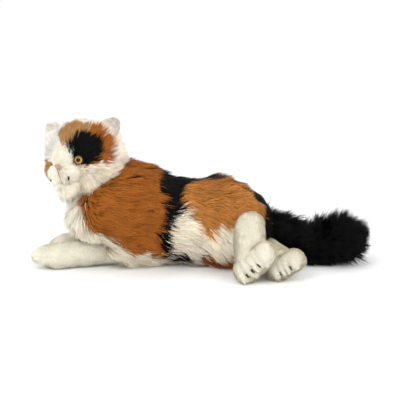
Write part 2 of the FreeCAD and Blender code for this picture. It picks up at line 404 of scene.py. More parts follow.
def thread_material(name, colour):
    """Twisted embroidery thread, darker in the twist's grooves as painted shade."""
    made, tree, shader = material(name)
    twist = tree.nodes.new("ShaderNodeTexWave")
    twist.inputs["Scale"].default_value = 900
    twist.inputs["Distortion"].default_value = 1.5
    in_object_space(tree, twist.inputs["Vector"])
    # The colour follows the twist's bump, darker in its grooves as painted shade
    tint(tree, shader, one_colour(tree, colour), twist.outputs["Fac"], 0.6, 1.15)
    bumpy(tree, shader, twist.outputs["Fac"], 0.4, 0.2)
    shader.inputs["Roughness"].default_value = 0.6
    return made


def fibre_material(name, colour):
    """Loose stuffing fibre, or plain cloth that stays out of sight."""
    made, tree, shader = material(name)
    tint(tree, shader, one_colour(tree, colour), noise(tree, 160, 6), 0.75, 1.1)
    shader.inputs["Roughness"].default_value = 0.95
    return made


def plastic_material(name, colour, roughness=0.12, speck=0.08, alpha=1.0):
    """Moulded plastic with a faint unevenness in its colour. A clear part has a low alpha."""
    made, tree, shader = material(name)
    tint(tree, shader, one_colour(tree, colour), noise(tree, 500), 1 - speck, 1 + speck)
    surface(shader, roughness, 0.5 if alpha == 1 else 1.0)
    shader.inputs["Alpha"].default_value = alpha
    return made


# The iris's rings: how light it is at shares of its radius, dark round the pupil and at the rim
IRIS_RINGS = ((0, 0.01), (0.46, 0.01), (0.52, 1.0), (0.84, 1.0), (0.95, 0.02), (1, 0.02))


def ramp(tree, value, stops):
    """A colour from a 0 to 1 value, by stops of position and colour, the first and last kept as ends."""
    node = tree.nodes.new("ShaderNodeValToRGB")
    elements = node.color_ramp.elements
    for element, (position, colour) in zip((elements[0], elements[1]), (stops[0], stops[-1])):
        element.position = position
        element.color = (*colour, 1)
    for position, colour in stops[1:-1]:
        elements.new(position).color = (*colour, 1)
    tree.links.new(value, node.inputs[0])
    return node.outputs[0]


def iris_material(node):
    """Uneven amber, dark round the pupil and at the rim."""
    made, tree, shader = material(f"{node}_amber")
    low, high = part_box(node)
    away = tree.nodes.new("ShaderNodeVectorMath")
    away.operation = "DISTANCE"
    away.inputs[1].default_value = (low + high) / 2
    in_object_space(tree, away.inputs[0])
    share = tree.nodes.new("ShaderNodeMapRange")
    share.inputs["From Max"].default_value = (high.z - low.z) / 2
    tree.links.new(away.outputs["Value"], share.inputs["Value"])
    rings = ramp(tree, share.outputs[0], [(position, (light,) * 3) for position, light in IRIS_RINGS])
    amber = ((0.35, linear(206, 120, 18)), (0.65, linear(255, 194, 62)))
    shown = tree.nodes.new("ShaderNodeVectorMath")
    shown.operation = "MULTIPLY"
    tree.links.new(ramp(tree, noise(tree, 1500, 4), amber), shown.inputs[0])
    tree.links.new(rings, shown.inputs[1])
    tree.links.new(shown.outputs[0], shader.inputs["Base Color"])
    shader.inputs["Roughness"].default_value = 0.25
    return made


HAIR = hair_material()
SKIN = skin_material()

# ---- the coat's colours
WHITE = linear(238, 234, 225)
CREAM = linear(240, 229, 207)
BIB = linear(243, 235, 217)
BLUSH = linear(240, 228, 214)
IVORY = linear(245, 240, 224)
BROWN = linear(158, 91, 32)
GOLD = linear(180, 117, 56)
RUST = linear(146, 80, 28)
TAN = linear(172, 130, 80)
BLACK = linear(6, 5, 5)


def inside(polygon, x, y):
    """Which of the points (x, y) lie in the polygon."""
    hit = np.zeros(len(x), bool)
    for (ax, ay), (bx, by) in zip(polygon, polygon[1:] + polygon[:1]):
        crosses = (ay > y) != (by > y)
        with np.errstate(divide="ignore", invalid="ignore"):
            at = (bx - ax) * (y - ay) / (by - ay) + ax
        hit ^= crosses & (x < at)
    return hit


# Torso patches: along the body, and the angle round it from the belly (0) by the side (90) to the spine (180)
SHOULDER = [(-96, 200), (-106, 178), (-117, 158), (-132, 142), (-150, 146), (-153, 118), (-149, 98)]
SHOULDER += [(-143, 84), (-133, 71), (-97, 71), (-79, 51), (-50, 47), (-47, 76), (-48, 112)]
SHOULDER += [(-52, 144), (-60, 200)]
SADDLE = [(-60, 200), (-54, 150), (-48, 112), (-47, 76), (-50, 40), (-42, 40), (-38, 62), (-39, 88)]
SADDLE += [(-32, 108), (-14, 114), (-24, 124), (-22, 150), (-4, 171), (40, 174), (52, 178), (52, 200)]
BELLY_SPOT = [(-38, 50), (-10, 52), (-8, 34), (-38, 30)]
RUMP = [(-24, 153), (-4, 171), (40, 174), (60, 176), (76, 150), (82, 138), (74, 112), (47, 106), (40, 99)]
RUMP += [(18, 87), (11, 81), (0, 93), (-5, 108), (-14, 116), (-24, 124)]
HIP_EDGE = [(5, 52), (58, 60), (58, 28), (5, 28)]
# In the order they are laid on, so that a later one covers an earlier one
TORSO_PATCHES = ((SHOULDER, BROWN), (RUMP, GOLD), (HIP_EDGE, RUST), (BELLY_SPOT, BLACK), (SADDLE, BLACK))


BIB_END = -140  # the bib's colour in front of this x, and cream behind it
# Black at the rear: behind this x above this angle, behind this x below this angle, and all behind the last x
SPINE_START, SPINE_EDGE = 61, 152
REAR_START, REAR_EDGE, REAR_WHOLE = 62, 112, 76


def torso_section(x):
    """The torso's centre Y, half width, underside and top at x."""
    return [np.interp(x, TORSO_SECTIONS[:, 0], TORSO_SECTIONS[:, k]) for k in (1, 2, 3, 4)]


def torso_place(points):
    """Along the torso, and the angle round it from the belly in degrees, the same on both sides."""
    x = points[:, 0]
    y, half_width, low, high = torso_section(x)
    across = (points[:, 1] - y) / half_width
    down = ((low + high) / 2 - points[:, 2]) / ((high - low) / 2)
    return x, np.degrees(np.arctan2(np.abs(across), down))


def torso_coat(points, rng):
    """The colour at each point of the torso, with edges that feather into each other."""
    x, round_angle = torso_place(points)
    x = x + waves(points, 34, 3) * 3.5 + rng.normal(0, 1.6, len(x))
    round_angle = round_angle + waves(points, 30, 4) * 4 + rng.normal(0, 1.8, len(x))
    colour = np.where((x < BIB_END)[:, None], BIB, CREAM)
    for patch, shade in TORSO_PATCHES:
        colour[inside(patch, x, round_angle)] = shade
    colour[(x > SPINE_START) & (round_angle > SPINE_EDGE)] = BLACK
    colour[(x > REAR_WHOLE) | ((x > REAR_START) & (round_angle < REAR_EDGE))] = BLACK
    return colour


# Head patches: each a centre (degrees round from the nose to the left, degrees up) and half sizes in degrees
HEAD_PATCHES = (
    (BROWN, (50, 26), (44, 34)),
    (TAN, (26, 50), (26, 24)),
    (BLACK, (44, 21), (29, 26)),
    (BLACK, (31, 6), (14, 11)),
    (BLUSH, (122, 22), (27, 44)),
    (TAN, (-36, -8), (26, 16)),
)


def direction(around, rise):
    a, e = math.radians(around), math.radians(rise)
    return vec(math.cos(a) * math.cos(e), math.sin(a) * math.cos(e), math.sin(e))


def patch_distance(directions, centre, half_sizes):
    """0 at a patch's centre and 1 at its edge."""
    middle = direction(*centre)
    side = unit(np.cross(UP, middle))
    rise = np.cross(middle, side)
    angle = np.degrees(np.arccos(np.clip(directions @ middle, -1, 1)))
    tangent = unit(directions - (directions @ middle)[:, None] * middle)
    a, b = (tangent @ side) * angle, (tangent @ rise) * angle
    return np.sqrt((a / half_sizes[0]) ** 2 + (b / half_sizes[1]) ** 2)


def head_coat(points, rng):
    local = unit(in_head(points))
    colour = np.where((local[:, 0] > 0.05)[:, None], WHITE, BLUSH)
    colour = np.where(((local[:, 2] < -0.1) & (local[:, 1] > 0))[:, None], CREAM, colour)
    for shade, centre, half_sizes in HEAD_PATCHES:
        edge = patch_distance(local, centre, half_sizes) + waves(points, 20, 9) * 0.07
        colour[edge + rng.normal(0, 0.06, len(points)) < 1] = shade
    return colour


def plain_coat(shade):
    def coat(points, _):
        return np.repeat(shade[None], len(points), 0)

    return coat


def paint(made, coat, seed, shade=1.0):
    """Stores the coat's colour on a skin's points, darkened by shade: painted shade under the pile, like the
    painted shade at the hairs' roots.
    """
    points = points_of(made)
    store_colours(made.data, coat(points, np.random.default_rng(seed)) * shade)
    made.data.materials.clear()
    made.data.materials.append(SKIN)


# ---- pile
def roots_on(made, count, rng):
    """Points spread evenly over a skin, with the skin's normals there."""
    mesh = made.data
    mesh.calc_loop_triangles()
    corners = read(mesh.loop_triangles, "vertices", np.int32)
    points, normals = points_of(made), normals_of(made)
    a, b, c = (points[corners[:, k]] for k in range(3))
    area = np.linalg.norm(np.cross(b - a, c - a), axis=1)
    chosen = rng.choice(len(corners), count, p=area / area.sum())
    u, v = rng.random(count), rng.random(count)
    flip = u + v > 1
    u[flip], v[flip] = 1 - u[flip], 1 - v[flip]
    weights = np.stack((1 - u - v, u, v), 1)[:, :, None]
    picked = corners[chosen]
    return (points[picked] * weights).sum(1), unit((normals[picked] * weights).sum(1))


def tangent_part(v, normals):
    return unit(v - (v * normals).sum(1)[:, None] * normals)


def nearest(points, centres):
    tree = kdtree.KDTree(len(centres))
    for i, c in enumerate(centres):
        tree.insert(c, i)
    tree.balance()
    return np.array([tree.find(p)[1] for p in points])


def grouped(roots, spacing, rng):
    """Which group each root belongs to, for groups about spacing apart, and how many groups there are."""
    span = np.ptp(roots, axis=0)
    area = 1.6 * (span[0] * span[1] + span[1] * span[2] + span[0] * span[2])
    count = int(np.clip(area / spacing**2, 1, len(roots)))
    centres = roots[rng.choice(len(roots), count, replace=False)]
    return nearest(roots, centres), count


def gathered(tips, roots, tuft, hold, rng):
    """The tips drawn together, by hold, where their roots are in one tuft."""
    owner, tufts = grouped(roots, tuft, rng)
    members = np.maximum(np.bincount(owner, minlength=tufts), 1)
    middles = np.stack([np.bincount(owner, tips[:, k], tufts) / members for k in range(3)], 1)
    grip = hold * rng.uniform(0.6, 1.1, len(tips))[:, None]
    return tips + (middles[owner] - tips) * grip


@dataclass
class Stand:
    """How hairs stand: angles in degrees, spacings in millimetres."""

    rise: float = 40.0  # from the skin at the root
    lie: float = 14.0  # from the skin at the tip
    tuft: float = 5.0  # the spacing of tufts
    hold: float = 0.55  # how closely a tuft's tips gather
    lock: float = 14.0  # the spacing of locks
    wild: float = 0.0  # how far each lock turns its own way
    rows: int = 4  # cross-sections in each hair


# How wide a hair is at shares of its length, and, by its colour's lightness, the painted shade that darkens
# its root and the painted light that lightens its tip
TAPER = (0, 0.45, 0.8, 1), (0.85, 1, 0.62, 0)
LIGHTNESS = (0.01, 0.1, 0.25, 0.6)
ROOT_PAINTED_SHADES, TIP_PAINTED_LIGHTS = (0.8, 0.45, 0.6, 0.9), (1.0, 1.3, 1.2, 1.06)
ROOT_DEPTH = 0.6  # how far below the skin a hair starts


def hairs(name, roots, normals, flow, length, width, colour, rng, stand):
    """One mesh of tapered hairs that leave their roots and bend over towards flow."""
    count = len(roots)
    lock_of, locks = grouped(roots, stand.lock, rng)
    turn = np.radians(rng.normal(0, stand.wild, locks))[lock_of]
    turn = (turn + rng.normal(0, 0.15, count))[:, None]
    lift = rng.normal(0, stand.wild * 0.4, locks)[lock_of]
    length = length * (1 + rng.normal(0, stand.wild * 0.005, locks))[lock_of] * rng.uniform(0.78, 1.12, count)
    colour = colour * (1 + rng.normal(0, stand.wild * 0.004, locks))[lock_of][:, None]
    flow = tangent_part(flow, normals)
    flow = flow * np.cos(turn) + np.cross(normals, flow) * np.sin(turn)

    def leaning(degrees, spread):
        a = np.radians(np.clip(degrees + lift + rng.normal(0, spread, count), 2, 88))[:, None]
        return flow * np.cos(a) + normals * np.sin(a)

    middle = roots + leaning(stand.rise, 6) * (length * 0.45)[:, None]
    tip = middle + leaning(stand.lie, 7) * (length * 0.58)[:, None]
    if stand.hold > 0:
        tip = gathered(tip, roots, stand.tuft, stand.hold, rng)
    base = roots - normals * ROOT_DEPTH
    bend = middle * 2 - (base + tip) / 2
    steps = np.linspace(0, 1, stand.rows)
    root_painted_shade, tip_painted_light = (np.interp(colour.mean(1), LIGHTNESS, s) for s in (ROOT_PAINTED_SHADES, TIP_PAINTED_LIGHTS))
    points, tints = [], []
    for t, share in zip(steps, np.interp(steps, *TAPER)):
        centre = base * (1 - t) ** 2 + bend * 2 * t * (1 - t) + tip * t**2
        along = unit((bend - base) * (1 - t) + (tip - bend) * t)
        broad = unit(np.cross(along, normals)) * (width * share / 2)
        # Each hair's colour goes from painted shade at the root to painted light at the tip
        shade = root_painted_shade + (tip_painted_light - root_painted_shade) * t**0.7
        for sign in (-1, 1) if t < 1 else (0,):
            points.append(centre + broad * sign)
            tints.append(colour * shade[:, None])
    points = np.stack(points, 1).reshape(-1, 3)
    tints = np.stack(tints, 1).reshape(-1, 3)
    return hair_object(name, points, tints, normals, stand.rows)


def hair_pattern(rows):
    """One hair's faces: their corners, how many each has, and each corner's place across and up the hair."""
    corners, totals, across, up = [], [], [], []
    for k in range(rows - 1):
        a = 2 * k
        last = k == rows - 2
        corners += [a, a + 1, a + 2] if last else [a, a + 1, a + 3, a + 2]
        across += [0, 1, 0.5] if last else [0, 1, 1, 0]
        up += [k, k, k + 1] if last else [k, k, k + 1, k + 1]
        totals.append(3 if last else 4)
    return np.array(corners), totals, np.array(across), np.array(up)


def hair_object(name, points, tints, normals, rows):
    """Builds the hairs' mesh straight from arrays that hold each hair's points together."""
    count, per_hair = len(normals), 2 * rows - 1
    corners, totals, across, up = hair_pattern(rows)
    loops = ((np.arange(count) * per_hair)[:, None] + corners).ravel()
    totals = np.tile(totals, count)
    starts = np.concatenate(([0], np.cumsum(totals)[:-1]))
    mesh = bpy.data.meshes.new(name)
    mesh.vertices.add(len(points))
    mesh.vertices.foreach_set("co", metres(points).astype(np.float32).ravel())
    mesh.loops.add(len(loops))
    mesh.loops.foreach_set("vertex_index", loops.astype(np.int32))
    mesh.polygons.add(len(totals))
    mesh.polygons.foreach_set("loop_start", starts.astype(np.int32))
    mesh.polygons.foreach_set("use_smooth", np.ones(len(totals), bool))
    mesh.update(calc_edges=True)
    store_colours(mesh, np.clip(tints, 0, 1))
    lay_out(mesh, count, across, 0.8 * up / (rows - 1))
    blend_normals(mesh, np.repeat(normals, per_hair, 0))
    mesh.materials.append(HAIR)
    return placed(name, mesh)


def store_colours(mesh, colours):
    """Keeps a colour on each of the mesh's points, where the pile's materials read it."""
    layer = mesh.attributes.new("coat", "FLOAT_COLOR", "POINT")
    opaque = np.hstack((colours, np.ones((len(colours), 1))))
    layer.data.foreach_set("color", opaque.astype(np.float32).ravel())


def lay_out(mesh, count, across, up):
    """Gives each hair its own cell in the texture layout, with the next hair in the next cell."""
    cells = math.ceil(math.sqrt(count))
    row, column = np.divmod(np.arange(count), cells)
    column = np.where(row % 2 == 0, column, cells - 1 - column)
    u = (column[:, None] + 0.1 + 0.8 * across) / cells
    v = (row[:, None] + 0.1 + up) / cells
    chart = mesh.uv_layers.new(name="OFBake")
    chart.data.foreach_set("uv", np.stack((u, v), 2).astype(np.float32).ravel())


def blend_normals(mesh, skin_normals):
    """Lights the hairs partly as the skin under them faces, so that the coat shades as a whole."""
    own = read(mesh.vertex_normals, "vector")
    own = own * np.sign((own * skin_normals).sum(1) + 1e-6)[:, None]
    mesh.normals_split_custom_set_from_vertices(unit(skin_normals * 0.8 + own * 0.45))


def kept_roots(roots, keep):
    """The roots to keep, neighbours together, so that a coarse texture still holds their colour."""
    cell = 6.0
    kept = np.flatnonzero(keep)
    grid = np.floor(roots[kept] / cell).astype(int)
    return kept[np.lexsort((roots[kept][:, 2], grid[:, 1], grid[:, 2], grid[:, 0]))]


def limb_distance(points, name):
    """How far points are outside a limb's cones."""
    best = np.full(len(points), 1e9)
    for start, first, end, second in runs(name):
        run = end - start
        t = np.clip((points - start) @ run / (run @ run), 0, 1)
        away = np.linalg.norm(points - start - t[:, None] * run, axis=1) - (first + (second - first) * t)
        best = np.minimum(best, away)
    return best


FLOOR_GAP = 0.4  # between the floor and the skins
LOWEST_ROOT, LOWEST_LEG_ROOT = 1.5, 1.2  # hairs rooted lower would only lie under the toy


# ---- torso
def torso_form():
    """The torso's lofted form, rounder between its sections."""
    stations = np.linspace(TORSO_SECTIONS[0, 0], TORSO_SECTIONS[-1, 0], 60)
    sides = 48
    points, faces = [], []
    for x in stations:
        y, half_width, low, high = torso_section(x)
        for i in range(sides):
            a = 2 * math.pi * i / sides
            z = (low + high) / 2 + (high - low) / 2 * math.sin(a)
            points.append((x, y + half_width * math.cos(a), max(z, 0.6)))
    for r in range(len(stations) - 1):
        for i in range(sides):
            a, b = r * sides + i, r * sides + (i + 1) % sides
            faces.append((a, a + sides, b + sides, b))
    faces.append(tuple(range(sides)))
    faces.append(tuple(reversed(range((len(stations) - 1) * sides, len(stations) * sides))))
    return np.array(points), faces


CHEST_UNDERSIDE, CHEST_REAR, CHEST_SLOPE = 41.0, -100.0, 22  # the slope is how far the back leans forward


def chest_gap():
    """The room under the chest where the front legs lie, with a sloping back."""
    low, high = (CHEST_REAR - 130, -120, -60), (CHEST_REAR, 120, CHEST_UNDERSIDE)
    points = []
    for z in (low[2], high[2]):
        rear = high[0] if z < 0 else high[0] - CHEST_SLOPE
        points += [(low[0], low[1], z), (rear, low[1], z), (rear, high[1], z), (low[0], high[1], z)]
    faces = [(0, 3, 2, 1), (4, 5, 6, 7), (0, 1, 5, 4), (1, 2, 6, 5), (2, 3, 7, 6), (3, 0, 4, 7)]
    return np.array(points, float), faces


POCKET_ROOM = 2.0  # between a limb and the hollow it swings in


def swing_of(name):
    """A limb's joint axis, and its least and most angle in degrees, as the row states them."""
    joint = row_joint("child", name if name == "tail" else f"{name}_leg")
    return joint["axis"], *joint["range_deg"]


def pocket(name):
    """The hollow a limb's first run swings in, turned to the middle of its range and flared by it."""
    axis, least, most = swing_of(name)
    start, first, end, second = runs(name)[0]
    middle = start + turned(axis, (least + most) / 2) @ (end - start)
    flare = np.linalg.norm(end - start) * math.tan(math.radians(most - least) / 2)
    return taper_form(start, first + POCKET_ROOM, middle, second + POCKET_ROOM + flare)


def made_uneven(made, points, pitch, seed, depth):
    """Moves a skin's points to these, in and out a little along its normals, and off the floor."""
    points = points + normals_of(made) * (waves(points, pitch, seed) * depth)[:, None]
    points[:, 2] = np.maximum(points[:, 2], FLOOR_GAP)
    move_points(made, points)
    return made


def torso_skin():
    cutters = [chest_gap(), ball_form(HEAD_CENTRE, (HEAD_RADIUS + SEAT_CLEARANCE,) * 3)]
    cutters += [pocket(name) for name in LIMBS]
    made = sculpted("torso_skin", [torso_form()], 3.2, 7, cutters)
    return made_uneven(made, points_of(made), 46, 21, 1.1)


# The coat's patches are where they are seen, which is this share of a hair's length on from its root
SEEN_SHARE = 0.6
PILE_CLEARANCE, LIMB_CLEARANCE = 3.5, 0.8  # from the head's ball and the limbs to the nearest roots


def on_outside(points):
    """Which points of the torso's skin are on its outside, not in a hollow or under the chest."""
    x = points[:, 0]
    y, half_width, low, high = torso_section(x)
    across = (points[:, 1] - y) / half_width
    up = (points[:, 2] - (low + high) / 2) / ((high - low) / 2)
    ends = (x < TORSO_SECTIONS[0, 0] + 4) | (x > TORSO_SECTIONS[-1, 0] - 4)
    least = np.interp(x, (-80, -50), (0.82, 0.93))  # less at the shoulders, to cover the leg hollows' rims
    return (np.hypot(across, up) > least) | ends


def chest_share(points):
    """1 on the chest's front, 0 behind the shoulders' front."""
    return np.clip((-134 - points[:, 0]) / 18, 0, 1)


def rear_share(points):
    return np.clip((points[:, 0] - 40) / 34, 0, 1)


def back_share(points):
    """1 along the top of the back, 0 on the flanks."""
    return np.clip((torso_place(points)[1] - 120) / 40, 0, 1)


def torso_flow(points):
    """Back along the body, turning down on the flanks and at the rear, with tousled places."""
    x, round_angle = torso_place(points)
    steep = np.interp(x, (-50, 10), (0.45, 1))
    fall = np.interp(round_angle, (0, 60, 110, 180), (0.1, 0.55, 0.4, 0.1)) * steep
    chest, rear = chest_share(points), rear_share(points)
    flow = np.stack((1 - chest, waves(points, 40, 12) * 0.22, -(fall + 1.2 * chest + 0.9 * rear)), 1)
    flow[:, 2] += waves(points, 42, 11) * 0.4 * (1 - chest)
    flow[:, 0] += waves(points, 30, 13) * 0.2
    return flow


TORSO_PILE = (
    ("shoulder_pile", lambda x: (x < -60)),
    ("flank_pile", lambda x: (x >= -60) & (x < 14)),
    ("rump_pile", lambda x: (x >= 14)),
)


def torso_pile(skin, count):
    rng = np.random.default_rng(41)
    roots, normals = roots_on(skin, count, rng)
    keep = np.linalg.norm(roots - HEAD_CENTRE, axis=1) > HEAD_RADIUS + PILE_CLEARANCE
    keep &= on_outside(roots) & (roots[:, 2] > LOWEST_ROOT)
    for name in LIMBS:
        keep &= limb_distance(roots, name) > LIMB_CLEARANCE
    kept = kept_roots(roots, keep)
    roots, normals = roots[kept], normals[kept]
    length, flow = torso_pile_length(roots), torso_flow(roots)
    seen = roots + tangent_part(flow, normals) * (length * SEEN_SHARE)[:, None]
    colour = torso_coat(seen, rng) * coat_variety(roots, rng)
    made = []
    for name, part in TORSO_PILE:
        k = part(roots[:, 0])
        chest = chest_share(roots[k])
        rise = 38 + 12 * chest - 12 * back_share(roots[k])
        stand = Stand(rise=rise, lie=8 + 18 * chest, hold=0.52, wild=14.0)
        piece = hairs(name, roots[k], normals[k], flow[k], length[k], 0.78, colour[k], rng, stand)
        kept_in(piece)
        made.append(piece)
    return made


def torso_pile_length(roots):
    """Long on the back and chest, shorter at the rear, near the floor and beside the head."""
    length = np.interp(roots[:, 0], (-166, -140, -60, 14, 50, 84), (29, 27, 25, 24, 19, 12))
    length = length + waves(roots, 50, 31) * 3
    back = back_share(roots) * np.interp(roots[:, 0], (-50, 10), (1, 0.4))
    length *= 1 - 0.32 * back
    low = np.interp(roots[:, 2], (CHEST_UNDERSIDE, 56, 82), (10, 16, 30))
    length = np.where(roots[:, 0] < -128, np.minimum(length, low), length)
    length = np.minimum(length, np.interp(roots[:, 2], (2, 16), (9, 30)))
    neck = np.linalg.norm(roots - HEAD_CENTRE, axis=1) - HEAD_RADIUS
    return np.minimum(length, 10 + neck * 0.9)


def coat_variety(roots, rng):
    """Lighter and darker hairs, and broad lighter and darker places."""
    light = 1 + waves(roots, 26, 51) * 0.1 + rng.normal(0, 0.13, len(roots))
    warm = rng.normal(0, 0.035, len(roots))
    return np.clip(light, 0.55, 1.5)[:, None] * np.stack((1 + warm, np.ones(len(roots)), 1 - warm), 1)


def short_pile_colour(shade, roots, rng):
    """One shade, with a little of the long coat's variety."""
    return shade * (0.7 + 0.3 * coat_variety(roots, rng))


PILE_GAP, PILE_ROOM = 0.5, 14.5  # the hairs' least height, and how far they may pass the CAD's box


def kept_in(piece):
    """Presses hairs that would go through the floor, or far outside the CAD's box, back to its edge."""
    points = points_of(piece)
    low, high = millimetres(CAD_BOX[0]) - PILE_ROOM, millimetres(CAD_BOX[1]) + PILE_ROOM
    low[2] = PILE_GAP
    move_points(piece, np.clip(points, low, high))


# ---- head
EYE_CENTRES = (vec(42, 21.3, 2.5), vec(42, -21.3, 2.5))
MUZZLE_MIDDLE = vec(50, 0, -11)
WASHER_REACH = 44.7  # from the head's centre to just outside the eyes' lock washers


# The skull's balls in the head's frame, each a centre and half sizes: the whole, the brow and the cheeks
SKULL = (
    ((0, 0, 0), (44.5, 45.5, 44.5)),
    ((8, 0, 12), (36, 33, 33)),
    ((6, 17, -12), (33, 26, 26)),
    ((6, -17, -12), (33, 26, 26)),
)


def head_forms(balls):
    return [ball_form(on_head(centre), size, HEAD_AXES) for centre, size in balls]


def head_skin():
    """The skull: a ball with a broad brow, full cheeks and flatter sides."""
    made = sculpted("head_skin", head_forms(SKULL), 2.6, 6)
    points = in_head(points_of(made))
    reach = np.linalg.norm(points, axis=1)
    points *= np.minimum(1, HEAD_RADIUS / reach)[:, None]
    for eye in EYE_CENTRES:
        near = np.clip((20 - np.linalg.norm(points - eye, axis=1)) / 6, 0, 1)
        short = np.maximum(WASHER_REACH - np.linalg.norm(points, axis=1), 0)
        points += unit(points) * (short * near)[:, None]
    move_points(made, on_head(points))
    return made


def head_flow(local):
    """Away from the muzzle: up the forehead, back over the cheeks and down below."""
    flow = local - vec(52, 0, -4)
    flow[:, 2] += np.where(local[:, 2] > 8, 14, 0)
    flow[:, 1] += waves(local, 32, 61) * 7
    flow[:, 2] += waves(local, 28, 62) * 6
    return flow


# Places on the head, each a direction (degrees round from the nose to the left, degrees up) and its reach
CHEEK = (94, -24), (46, 40)
TEMPLE = (76, 40), (40, 20)
EAR_TUFT = (80, 35), (17, 11)
FAR_EYE = (-15, 3), (8, 17)
EYE_CLEARING, MUZZLE_CLEARING = 5.6, 10  # no hair is rooted this near an eye's or the muzzle's middle


def near_angle(around, rise, centre, reach):
    """1 at a place's direction and falling off over its reach."""
    a, b = (around - centre[0]) / reach[0], (rise - centre[1]) / reach[1]
    return np.exp(-(a**2) - b**2)


def head_length(local, muzzle, around, rise, hanging):
    """Short round the muzzle, long on the cheeks and temples, and longest where it hangs below."""
    length = np.interp(muzzle, (12, 22, 44, 66), (6, 9, 13, 15)) * (1 + waves(local, 24, 63) * 0.15)
    crown = np.clip((rise - 36) / 26, 0, 1)
    length = length * (1 - 0.12 * crown) + 8 * near_angle(around, rise, *CHEEK)
    length = length + 6 * near_angle(np.abs(around), rise, *TEMPLE)
    return np.maximum(length, 31 * hanging)


def clear_of_eye(length, roots, flow, eye_gap):
    """The lengths cut so that no hair lies across the left eye, and short close to both."""
    towards = on_head(EYE_CENTRES[0]) - roots
    distance = np.linalg.norm(towards, axis=1)
    blocked = ((unit(towards) * flow).sum(1) > 0.5) & (distance < 26)
    length = np.where(blocked, np.minimum(length, np.maximum(distance - 7.2, 1.4)), length)
    return np.minimum(length, np.interp(eye_gap, (EYE_CLEARING, 12, 20), (2.4, 7, 30)))


def head_pile(skin, count):
    rng = np.random.default_rng(71)
    roots, normals = roots_on(skin, count, rng)
    local = in_head(roots)
    muzzle = np.linalg.norm((local - MUZZLE_MIDDLE) / vec(1, 1.15, 1.25), axis=1)
    eye_gap = np.min([np.linalg.norm(local - eye, axis=1) for eye in EYE_CENTRES], axis=0)
    kept = kept_roots(roots, (muzzle > MUZZLE_CLEARING) & (eye_gap > EYE_CLEARING))
    roots, normals, local, muzzle, eye_gap = (a[kept] for a in (roots, normals, local, muzzle, eye_gap))
    around = np.degrees(np.arctan2(local[:, 1], local[:, 0]))
    rise = np.degrees(np.arcsin(unit(local)[:, 2]))
    hanging = np.clip((-24 - rise) / 18, 0, 1) * np.clip((muzzle - 14) / 12, 0, 1)
    flow = unit(head_flow(local) @ HEAD_AXES.T) * (1 - hanging)[:, None] - UP * hanging[:, None]
    flow = tangent_part(flow, normals)
    length = clear_of_eye(head_length(local, muzzle, around, rise, hanging), roots, flow, eye_gap)
    fluff = near_angle(np.abs(around), rise, *TEMPLE)
    tufted = near_angle(np.abs(around), rise, *EAR_TUFT)
    screen = near_angle(around, rise, *FAR_EYE)
    length = np.maximum(length, 14 * screen + 17 * tufted)
    seen = roots + flow * (length * SEEN_SHARE)[:, None]
    colour = head_coat(seen, rng) * coat_variety(roots, rng)
    lift = np.interp(local[:, 0], (-30, 30), (34, 44)) + 22 * screen + 12 * fluff
    lift += 16 * np.clip((24 - muzzle) / 10, 0, 1) + 24 * tufted
    lie = 15 + 30 * screen + 12 * fluff + 30 * tufted
    stand = Stand(rise=lift, lie=lie, tuft=4.5, lock=9.0, wild=15.0)
    return hairs("head_pile", roots, normals, flow, length, 0.6, colour, rng, stand)


PUFF_CENTRE, PUFF_SIZE = vec(49.3, 6.9, -13), vec(10.2, 8.3, 9.8)  # the part of a pad that shows
# The muzzle's balls in the head's frame: the two pads, the chin, the bridge of the nose and the brow above
MUZZLE = (
    (PUFF_CENTRE, PUFF_SIZE),
    (PUFF_CENTRE * vec(1, -1, 1), PUFF_SIZE),
    ((44.5, 0, -27), (9.2, 9.5, 8.4)),
    ((44.5, 0, 1), (11.2, 9.0, 11.0)),
    ((38, 0, 9), (10, 9.5, 11)),
)
MOUTH_TOP, MOUTH_END, MOUTH_DEPTH = -6.5, -25, 2.6  # the seam between the pads


def muzzle_skin():
    """Two full pads drawn together at the middle, the chin below and the bridge of the nose above."""
    made = sculpted("muzzle_skin", head_forms(MUZZLE), 1.3, 4)
    points = in_head(points_of(made))
    seam = np.exp(-((points[:, 1] / 1.5) ** 2)) * np.clip((MOUTH_TOP - points[:, 2]) / 3, 0, 1)
    seam *= np.clip((points[:, 2] - MOUTH_END) / 3, 0, 1) * np.clip((points[:, 0] - 42) / 6, 0, 1)
    points[:, 0] -= seam * MOUTH_DEPTH
    move_points(made, on_head(points))
    return made


def muzzle_pile(skin, count):
    rng = np.random.default_rng(81)
    roots, normals = roots_on(skin, count, rng)
    local = in_head(roots)
    keep = np.linalg.norm(local, axis=1) > 44.5
    keep &= np.abs(local[:, 1]) > np.where(local[:, 2] < MOUTH_TOP, 0.5, -1)
    kept = kept_roots(roots, keep)
    roots, normals, local = roots[kept], normals[kept], local[kept]
    colour = short_pile_colour(IVORY, roots, rng)
    edge = np.linalg.norm((local - vec(56, 0, -9)) * vec(0.8, 1, 1), axis=1)
    hanging = np.clip((-24 - local[:, 2]) / 6, 0, 1)
    length = np.interp(edge, (7, 15), (3.4, 12)) + 6 * hanging
    stitched = np.min([np.linalg.norm(roots - line[1], axis=1) for line in whisker_lines()], axis=0)
    length = np.minimum(length, np.interp(stitched, (4, 9), (1.2, 12)))
    flow = (local - vec(62, 0, -8)) @ HEAD_AXES.T
    flow = unit(flow) * (1 - 0.7 * hanging)[:, None] - UP * hanging[:, None]
    stand = Stand(rise=46, lie=24, tuft=3, hold=0.2, rows=3)
    return hairs("muzzle_pile", roots, normals, flow, length, 0.42, colour, rng, stand)


# ---- legs
TOE_FACING = vec(0, -0.97, -0.24)
TOE_GROOVES = (0.0, 0.3, 0.65)  # across the foot, as shares of its line
# A hind foot's toes: each one's share along the foot's line, half width, and half depth
TOES = ((-0.2, 6.6, 9.5), (0.15, 5.6, 9.5), (0.475, 6.2, 9.5), (0.97, 9.6, 10.5))


